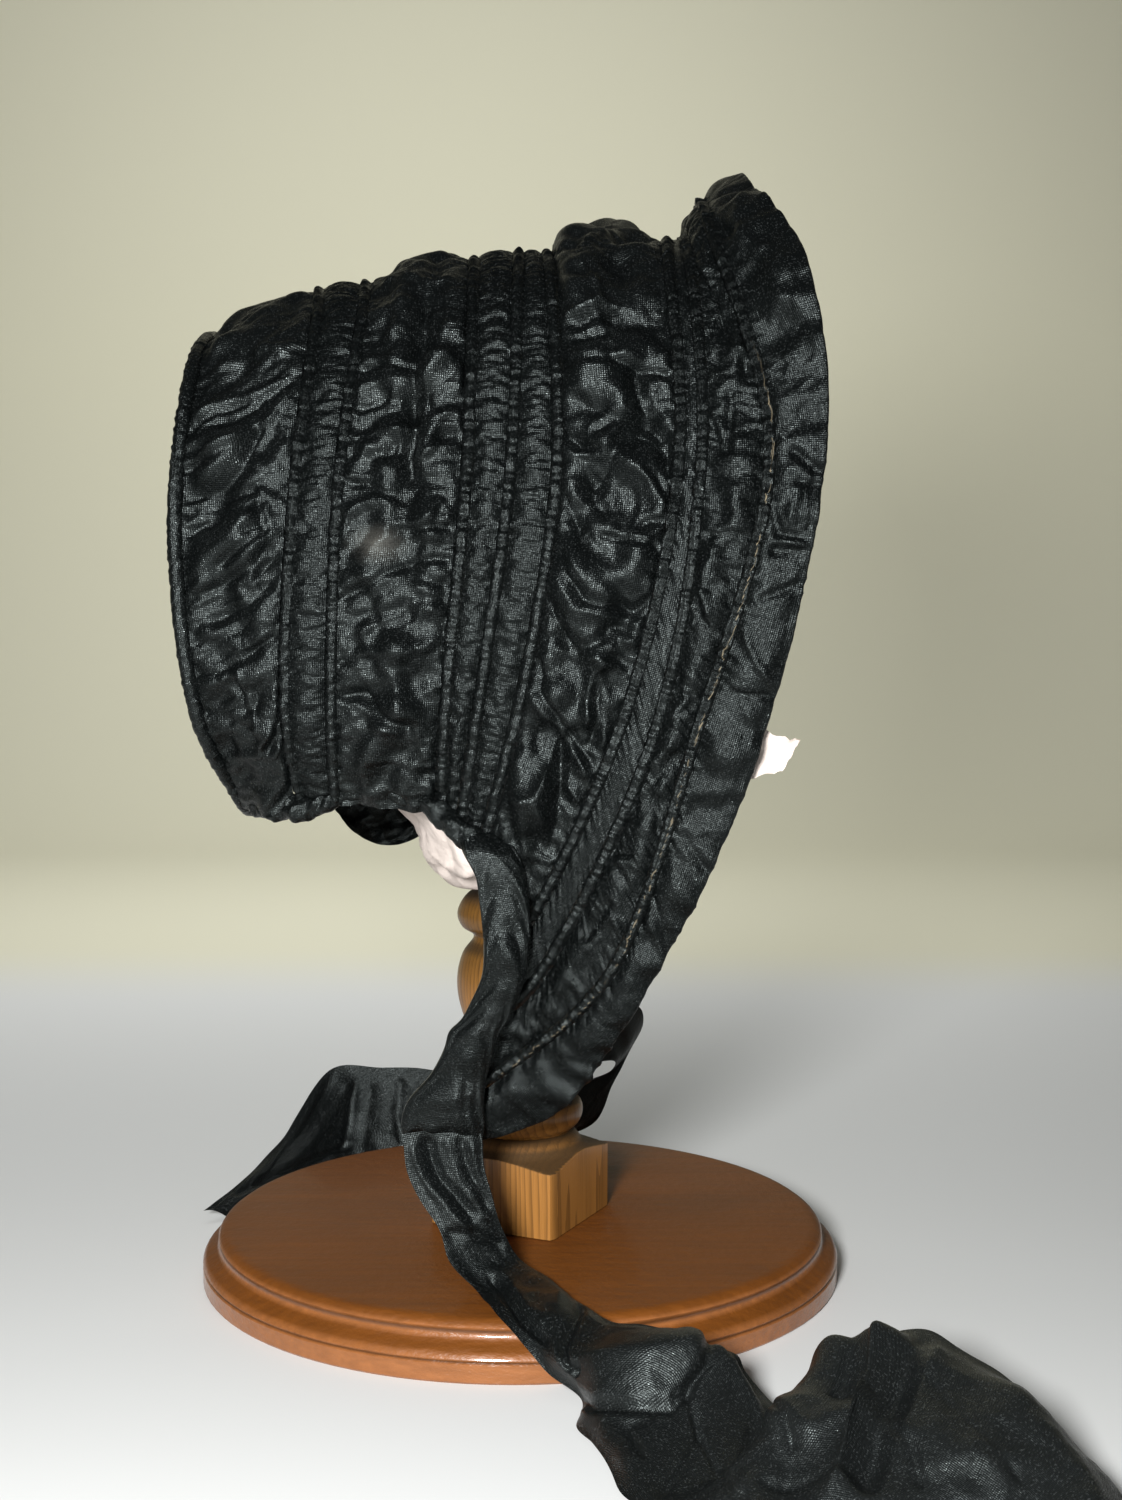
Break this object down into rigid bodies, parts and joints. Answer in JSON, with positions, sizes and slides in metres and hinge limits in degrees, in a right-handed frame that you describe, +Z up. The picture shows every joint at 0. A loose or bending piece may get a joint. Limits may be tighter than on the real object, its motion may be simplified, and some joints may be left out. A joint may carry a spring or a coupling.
{
  "type": "poke bonnet on a turned wooden display stand with tissue padding",
  "caption": "Black silk drawn poke bonnet with stitched hoop casings, gathered puffs, a flaring brim and two ties, on a plain round wooden stand.",
  "frame": {"origin": "centre of the plaque's underside", "axes": "+Z up, +X out of the bonnet's face opening, +Y towards the wearer's left side of the bonnet"},
  "size_m": [0.2631, 0.3254, 0.343],
  "materials": {
    "black_silk": "gathered silk with a soft grey sheen",
    "stained_plaque": "brown stain with a glossy varnish",
    "oiled_post": "satin varnish over dark open grain",
    "tissue_paper": "crumpled matte tissue paper"
  },
  "bodies": {
    "root": {"base_plaque": "stained_plaque", "brim_edge_band": "black_silk", "brim_inner_band": "black_silk", "brim_outer_band": "black_silk", "brim_puff": "black_silk", "casing_brim_a": "black_silk", "casing_brim_b": "black_silk", "casing_middle_a": "black_silk", "casing_middle_b": "black_silk", "casing_middle_c": "black_silk", "casing_rear_a": "black_silk", "casing_rear_b": "black_silk", "casing_ridge": "black_silk", "crown_front_band_a": "black_silk", "crown_front_band_b": "black_silk", "crown_middle_puff": "black_silk", "crown_rear_band": "black_silk", "crown_rear_puff": "black_silk", "crown_tip": "black_silk", "ear_ribbon_far": "black_silk", "ear_ribbon_near": "black_silk", "far_tie": "black_silk", "hem_far": "black_silk", "hem_lobe_far": "black_silk", "hem_near": "black_silk", "near_tie": "black_silk", "paper_pad": "tissue_paper", "paper_strip": "tissue_paper", "tip_piping": "black_silk", "turned_post": "oiled_post"}
  },
  "joints": []
}
